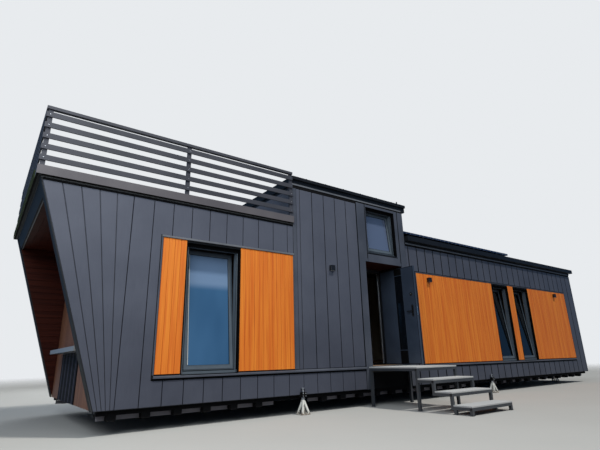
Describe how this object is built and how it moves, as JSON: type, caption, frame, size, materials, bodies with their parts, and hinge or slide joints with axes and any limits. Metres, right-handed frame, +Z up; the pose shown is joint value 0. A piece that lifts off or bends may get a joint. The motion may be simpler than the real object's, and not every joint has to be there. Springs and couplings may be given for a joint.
{
  "type": "tiny house",
  "caption": "Dark clad tiny house on jack stands, with a leaning end under a roof terrace, a tall entry tower with a recessed swing door, orange wood panels, and a landing with steps.",
  "frame": {"origin": "middle of the whole object on the ground, at the feet of the jack stands", "axes": "+X along the house towards the long right room, +Y from the entry front to the back, +Z up"},
  "size_m": [15.33, 5.9026, 4.25],
  "materials": {
    "cladding": "matt dark grey standing-seam sheet with a fine vertical grain",
    "orange_timber": "oiled orange cedar boards, upright",
    "dark_timber": "stained brown boards in shade",
    "dark_trim": "folded dark trim, satin",
    "railing_grey": "satin charcoal powder coat",
    "chassis_black": "black chassis paint",
    "jack_white": "off-white enamel, chipped at the feet",
    "bare_steel": "zinc-plated steel",
    "floor_board": "plain floor boards",
    "counter_black": "black fluted sheet",
    "counter_white": "white laminate",
    "deck_membrane": "grey roof membrane",
    "turf": "artificial turf",
    "roof_metal": "dark roof sheet",
    "door_grey": "dark blue-grey door skin",
    "pale_frame": "anodised aluminium",
    "hardware_black": "black lever and lock",
    "clear_glass": "clear double glazing",
    "window_frame": "blue-grey window frame",
    "solar_cell": "dark solar cells under glass",
    "step_steel": "dark grey painted tube",
    "step_board": "pale grey ribbed board"
  },
  "bodies": {
    "house": {"chassis_rails": "chassis_black", "cross_members": "chassis_black", "edge_beams": "chassis_black", "jack_stands": "jack_white", "jack_screws": "bare_steel", "floor_deck": "floor_board", "left_front_wall": "cladding", "left_back_wall": "cladding", "left_end_wall": "orange_timber", "end_frame": "dark_trim", "wood_linings": "dark_timber", "counter_front": "counter_black", "counter_top": "counter_white", "terrace_deck": "deck_membrane", "terrace_kerb": "railing_grey", "side_railings": "railing_grey", "end_railing": "railing_grey", "turf_fringe": "turf", "tower_front_left": "cladding", "tower_front_over": "cladding", "tower_front_right": "cladding", "door_skirt": "cladding", "tower_back_wall": "cladding", "tower_side_walls": "cladding", "tower_roof": "roof_metal", "entry_surround": "cladding", "recess_walls": "dark_timber", "door_frame": "pale_frame", "door_hinges": "bare_steel", "right_front_wall": "cladding", "right_back_wall": "cladding", "right_end_wall": "cladding", "right_roof": "roof_metal", "gutter": "roof_metal", "solar_panels": "solar_cell", "wood_panels": "orange_timber", "drip_flashings": "dark_trim", "window_frames": "window_frame", "window_sashes": "window_frame", "window_glass": "clear_glass", "wall_lights": "hardware_black", "landing_frame": "step_steel", "landing_boards": "step_board", "step_frames": "step_steel", "step_treads": "step_board"},
    "door": {"door_leaf": "door_grey", "door_glass": "clear_glass", "door_hardware": "hardware_black"}
  },
  "joints": [
    {"name": "door_swing", "type": "hinge", "parent": "house", "child": "door", "pos_m": [-0.683, -0.2712, 0.7], "axis": [0, 0, 1], "range_deg": [-90, 0]}
  ]
}
